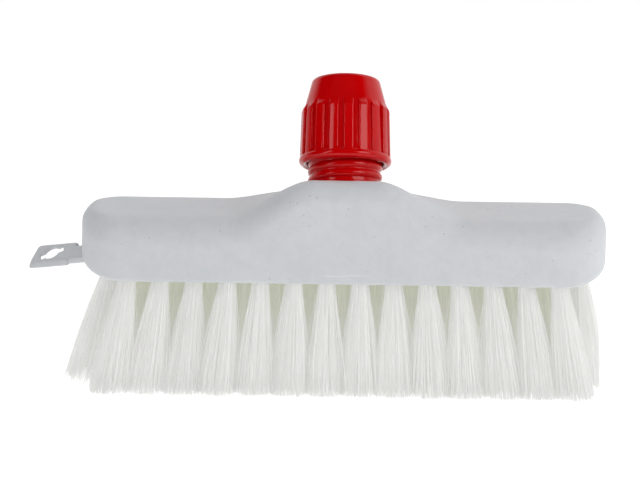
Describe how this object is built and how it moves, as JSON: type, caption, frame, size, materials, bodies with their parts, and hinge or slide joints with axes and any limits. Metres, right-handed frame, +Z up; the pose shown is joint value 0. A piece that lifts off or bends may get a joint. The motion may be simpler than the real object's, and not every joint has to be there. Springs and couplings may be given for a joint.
{
  "type": "floor scrub brush head",
  "caption": "Long floor scrub brush head with fanned drilled tufts, a humped block, a hanging tab and a leaning threaded socket whose ribbed clamp nut grips a round handle.",
  "frame": {"origin": "on the floor, under the middle of the whole brush's box", "axes": "+X along the block, away from the hanging tab; +Y the way the handle leans; +Z up, away from the floor"},
  "size_m": [0.3102, 0.083, 0.1672],
  "materials": {
    "foamed_block": "light grey foamed polypropylene, matt and faintly mottled",
    "red_socket": "glossy red moulded plastic",
    "red_nut": "glossy red moulded plastic",
    "collet": "natural white moulded plastic",
    "bristle": "off-white polyester filament, satin"
  },
  "bodies": {
    "brush": {"brush_block": "foamed_block", "threaded_socket": "red_socket", "tuft_back_01": "bristle", "tuft_back_02": "bristle", "tuft_back_03": "bristle", "tuft_back_04": "bristle", "tuft_back_05": "bristle", "tuft_back_06": "bristle", "tuft_back_07": "bristle", "tuft_back_08": "bristle", "tuft_back_09": "bristle", "tuft_back_10": "bristle", "tuft_back_11": "bristle", "tuft_back_12": "bristle", "tuft_back_13": "bristle", "tuft_back_14": "bristle", "tuft_end_left": "bristle", "tuft_end_right": "bristle", "tuft_front_01": "bristle", "tuft_front_02": "bristle", "tuft_front_03": "bristle", "tuft_front_04": "bristle", "tuft_front_05": "bristle", "tuft_front_06": "bristle", "tuft_front_07": "bristle", "tuft_front_08": "bristle", "tuft_front_09": "bristle", "tuft_front_10": "bristle", "tuft_front_11": "bristle", "tuft_front_12": "bristle", "tuft_front_13": "bristle", "tuft_front_14": "bristle", "tuft_inner_back_01": "bristle", "tuft_inner_back_02": "bristle", "tuft_inner_back_03": "bristle", "tuft_inner_back_04": "bristle", "tuft_inner_back_05": "bristle", "tuft_inner_back_06": "bristle", "tuft_inner_back_07": "bristle", "tuft_inner_back_08": "bristle", "tuft_inner_back_09": "bristle", "tuft_inner_back_10": "bristle", "tuft_inner_back_11": "bristle", "tuft_inner_back_12": "bristle", "tuft_inner_back_13": "bristle", "tuft_inner_front_01": "bristle", "tuft_inner_front_02": "bristle", "tuft_inner_front_03": "bristle", "tuft_inner_front_04": "bristle", "tuft_inner_front_05": "bristle", "tuft_inner_front_06": "bristle", "tuft_inner_front_07": "bristle", "tuft_inner_front_08": "bristle", "tuft_inner_front_09": "bristle", "tuft_inner_front_10": "bristle", "tuft_inner_front_11": "bristle", "tuft_inner_front_12": "bristle", "tuft_inner_front_13": "bristle"},
    "collet": {"grip_collet": "collet"},
    "nut": {"clamp_nut": "red_nut"}
  },
  "joints": [
    {"name": "collet_slide", "type": "slide", "parent": "brush", "child": "collet", "axis": [0, 0.5446, 0.8387], "range_m": [-0.00375, 0.0075]},
    {"name": "nut_turn", "type": "hinge", "parent": "collet", "child": "nut", "pos_m": [0.01506, 0.00115, 0.11824], "axis": [0, 0.5446, 0.8387], "range_deg": [-270, 540]}
  ],
  "couplings": [
    {"joint": "collet_slide", "follows": "nut_turn", "m_per_rad": 0.00079577}
  ]
}
